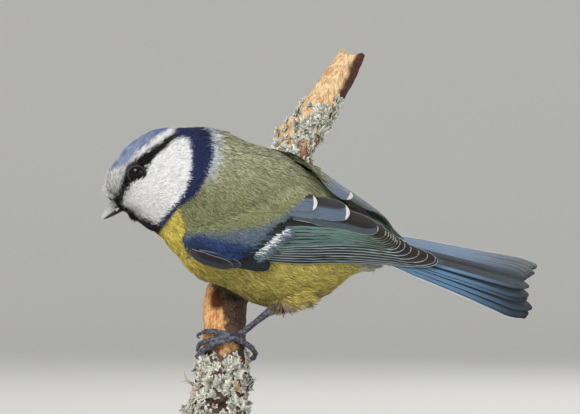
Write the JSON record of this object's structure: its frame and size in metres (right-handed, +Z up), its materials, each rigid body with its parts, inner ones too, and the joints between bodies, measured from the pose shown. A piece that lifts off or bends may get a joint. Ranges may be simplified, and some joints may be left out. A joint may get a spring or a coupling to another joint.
{
  "type": "blue tit on a branch perch with display stand",
  "caption": "Life-size blue tit leaning forward on a broken, lichened branch, held up by a round base and a rod, as a still museum model.",
  "frame": {"origin": "middle of the base's underside, on the surface that it stands on", "axes": "+Z up; the bird faces -X, its left side is towards -Y"},
  "size_m": [0.1167, 0.0931, 0.1279],
  "materials": {
    "plumage_white": "soft white feathers with a blue cap and a dark eye line",
    "plumage_navy": "soft navy collar feathers",
    "plumage_green": "soft moss-green back feathers, yellow below",
    "plumage_grey": "downy grey leg feathers",
    "feather_slate": "closed flight feathers, slate with pale edges",
    "feather_blue": "closed tail feathers, satin blue",
    "horn": "smooth dark horn",
    "eye": "wet black",
    "leg": "slate-blue scaled skin",
    "claw": "dark horn",
    "branch": "peeled and barked dead wood with grey lichen",
    "stand_steel": "brushed",
    "stand_wood": "dark stained, satin"
  },
  "bodies": {
    "root": {"head": "plumage_white", "neck": "plumage_navy", "torso": "plumage_green", "tail": "feather_blue", "wing_left": "feather_slate", "wing_right": "feather_slate", "bill_upper": "horn", "bill_lower": "horn", "eye_left": "eye", "eye_right": "eye", "thigh_left": "plumage_grey", "thigh_right": "plumage_grey", "tarsus_left": "leg", "tarsus_right": "leg", "foot_left": "leg", "foot_right": "leg", "claw_left_inner": "claw", "claw_left_middle": "claw", "claw_left_outer": "claw", "claw_left_hind": "claw", "claw_right_inner": "claw", "claw_right_middle": "claw", "claw_right_outer": "claw", "claw_right_hind": "claw", "perch": "branch", "stand_rod": "stand_steel", "stand_base": "stand_wood"}
  },
  "joints": []
}
